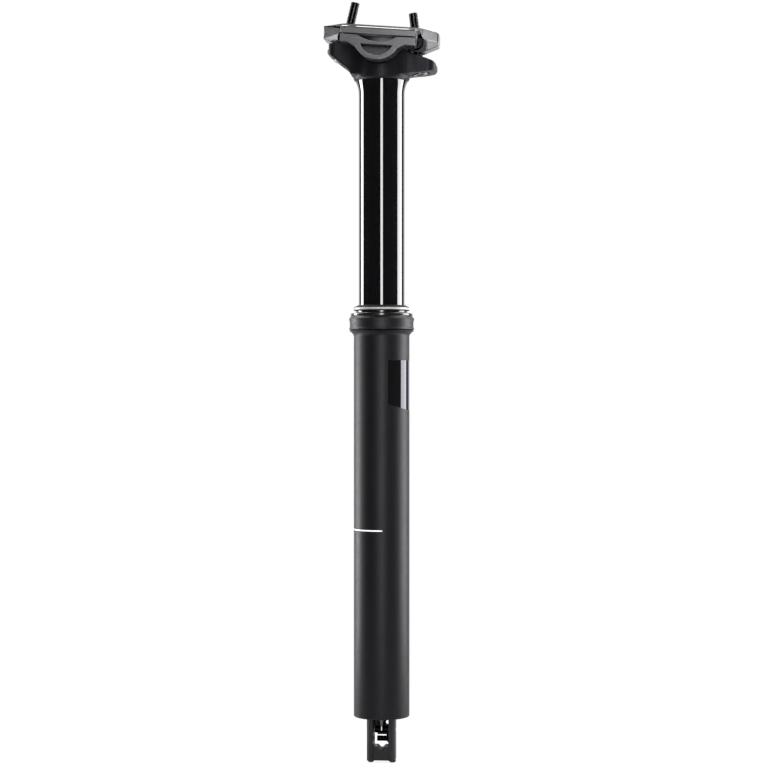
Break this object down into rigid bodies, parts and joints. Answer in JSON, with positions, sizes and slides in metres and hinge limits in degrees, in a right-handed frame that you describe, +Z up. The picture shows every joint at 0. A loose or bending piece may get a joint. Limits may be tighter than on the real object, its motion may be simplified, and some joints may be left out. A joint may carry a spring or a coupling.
{
  "type": "dropper seatpost",
  "caption": "Dropper seatpost: a stanchion with a forged, bolted rail-clamp head slides in a frame-fitting tube on a gas cartridge, with a cable-pulled release lever at its foot.",
  "frame": {"origin": "on the post axis, where the outer tube begins to flare out to its collar", "axes": "+Z up along the post, +X towards the front of the bicycle, +Y to the rider's left"},
  "size_m": [0.0642, 0.053, 0.4226],
  "materials": {
    "tube_charcoal": "matt charcoal anodised",
    "stanchion_gloss": "polished black anodised",
    "head_matt": "matt black forging",
    "cradle_grey": "satin grey anodised",
    "clamp_grey": "satin grey anodised",
    "black_steel": "black oxide",
    "plain_steel": "satin",
    "bright_wire": "polished",
    "actuator_black": "satin black anodised",
    "cartridge_alloy": "turned",
    "bushing_liner": "filled bearing plastic",
    "key_brass": "turned",
    "seal_rubber": "moulded"
  },
  "bodies": {
    "outer": {"outer_tube": "tube_charcoal", "collar_cap": "tube_charcoal", "wiper_seal": "seal_rubber", "wiper_ring": "bright_wire", "upper_bushing": "bushing_liner", "end_cap": "actuator_black", "end_cap_clip": "bright_wire", "bottom_bumper": "seal_rubber", "piston_rod": "plain_steel", "rod_piston": "cartridge_alloy", "piston_seal": "seal_rubber", "piston_nut": "plain_steel", "rod_nut": "plain_steel", "actuator_yoke": "actuator_black", "actuator_screws": "black_steel", "housing_stop": "actuator_black", "lever_pivot": "bright_wire"},
    "post": {"stanchion": "stanchion_gloss", "post_head": "head_matt", "lower_bushing": "bushing_liner", "slide_keys": "key_brass", "cartridge_tube": "cartridge_alloy", "cartridge_gland": "cartridge_alloy", "gland_seal": "seal_rubber", "topout_bumper": "seal_rubber", "cartridge_cap": "cartridge_alloy", "cartridge_retainer": "cartridge_alloy", "clamp_bolts": "black_steel"},
    "gas_piston": {"floating_piston": "cartridge_alloy"},
    "clamp": {"lower_cradle": "cradle_grey", "upper_clamp": "clamp_grey"},
    "rear_barrel": {"rear_nut": "black_steel"},
    "front_barrel": {"front_nut": "black_steel"},
    "lever": {"release_lever": "black_steel", "cable_barrel": "plain_steel"},
    "pin": {"release_pin": "bright_wire"}
  },
  "joints": [
    {"name": "post_slide", "type": "slide", "parent": "outer", "child": "post", "axis": [0, 0, 1], "range_m": [-0.1, 0], "stiffness_N_per_m": 400, "springref_m": 0.5},
    {"name": "gas_piston_slide", "type": "slide", "parent": "post", "child": "gas_piston", "axis": [0, 0, 1], "range_m": [0, 0.03906]},
    {"name": "clamp_tilt", "type": "hinge", "parent": "post", "child": "clamp", "pos_m": [0, 0, 0.163], "axis": [0, 1, 0], "range_deg": [-6, 6]},
    {"name": "rear_nut_turn", "type": "hinge", "parent": "clamp", "child": "rear_barrel", "pos_m": [-0.01959, 0, 0.16521], "axis": [0, 1, 0], "range_deg": [-6, 6]},
    {"name": "front_nut_turn", "type": "hinge", "parent": "clamp", "child": "front_barrel", "pos_m": [0.0197, 0, 0.16219], "axis": [0, 1, 0], "range_deg": [-6, 6]},
    {"name": "pin_lift", "type": "slide", "parent": "outer", "child": "pin", "axis": [0, 0, 1], "range_m": [0, 0.00116], "stiffness_N_per_m": 20, "springref_m": -0.001},
    {"name": "lever_press", "type": "hinge", "parent": "outer", "child": "lever", "pos_m": [0, 0.0032, -0.2185], "axis": [-1, 0, 0], "range_deg": [0, 20]}
  ],
  "couplings": [
    {"joint": "gas_piston_slide", "follows": "post_slide", "ratio": -0.39062},
    {"joint": "rear_nut_turn", "follows": "clamp_tilt", "ratio": -1},
    {"joint": "front_nut_turn", "follows": "clamp_tilt", "ratio": -1},
    {"joint": "lever_press", "follows": "pin_lift", "rad_per_m": 299.85}
  ]
}
